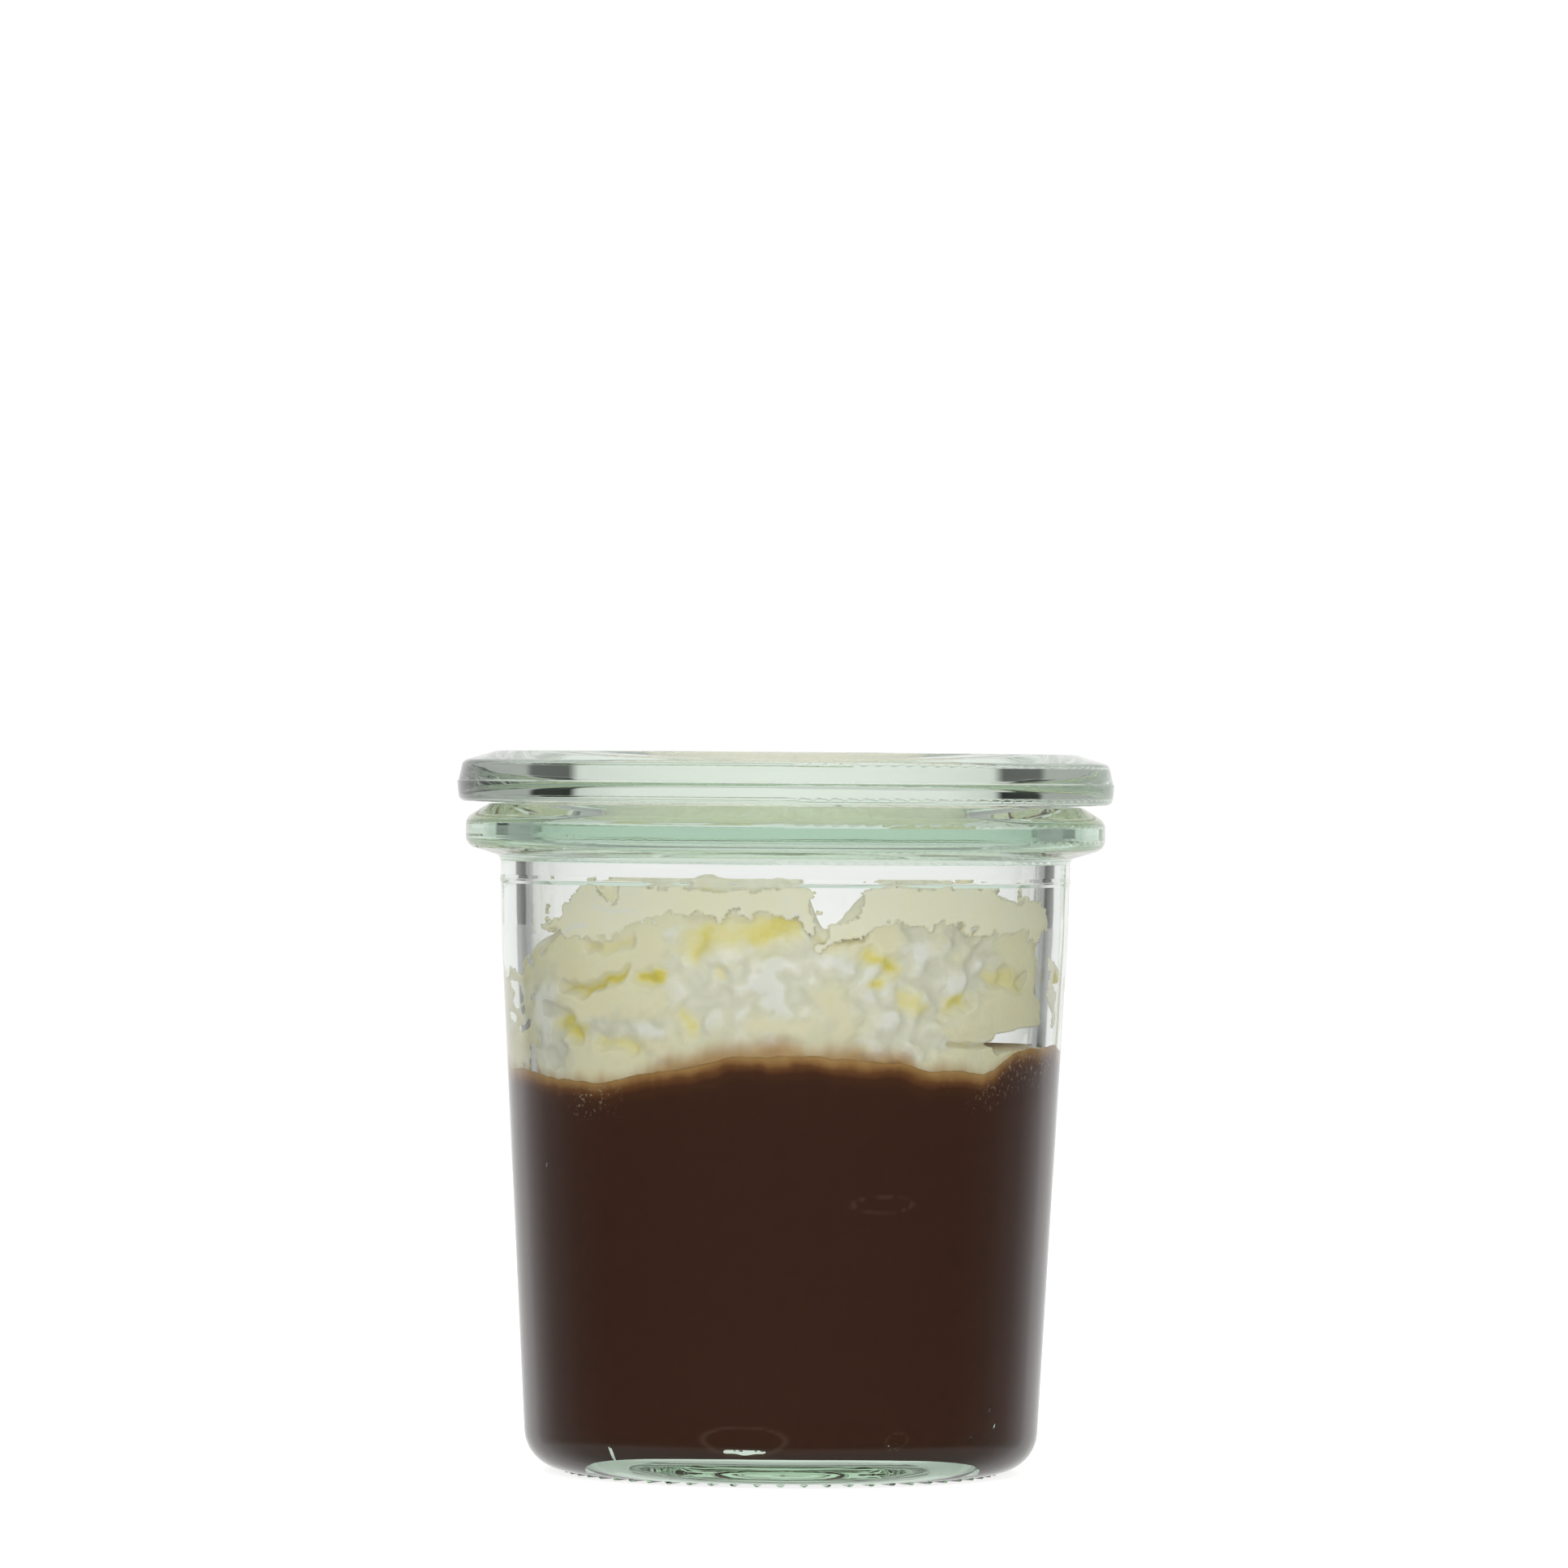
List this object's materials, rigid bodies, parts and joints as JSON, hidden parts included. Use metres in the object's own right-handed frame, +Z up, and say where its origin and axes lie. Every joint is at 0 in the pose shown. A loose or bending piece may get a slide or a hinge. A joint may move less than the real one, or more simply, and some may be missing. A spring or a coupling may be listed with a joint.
{
  "type": "glass canning jar",
  "caption": "Small tapered glass canning jar with a loose flat glass lid, filled with dark chocolate pudding under whipped cream.",
  "frame": {"origin": "on the surface the jar stands on, under the middle of the jar", "axes": "+Z up along the jar's axis, -Y towards the front, +X to the right of the front"},
  "size_m": [0.07, 0.07, 0.0765],
  "materials": {
    "jar_glass": "pressed glass, faint green where thick",
    "lid_glass": "pressed glass, faint green where thick",
    "pudding": "smooth dark chocolate pudding",
    "cream": "soft whipped cream"
  },
  "bodies": {
    "root": {"jar": "jar_glass", "lid": "lid_glass", "pudding": "pudding", "cream": "cream"}
  },
  "joints": []
}
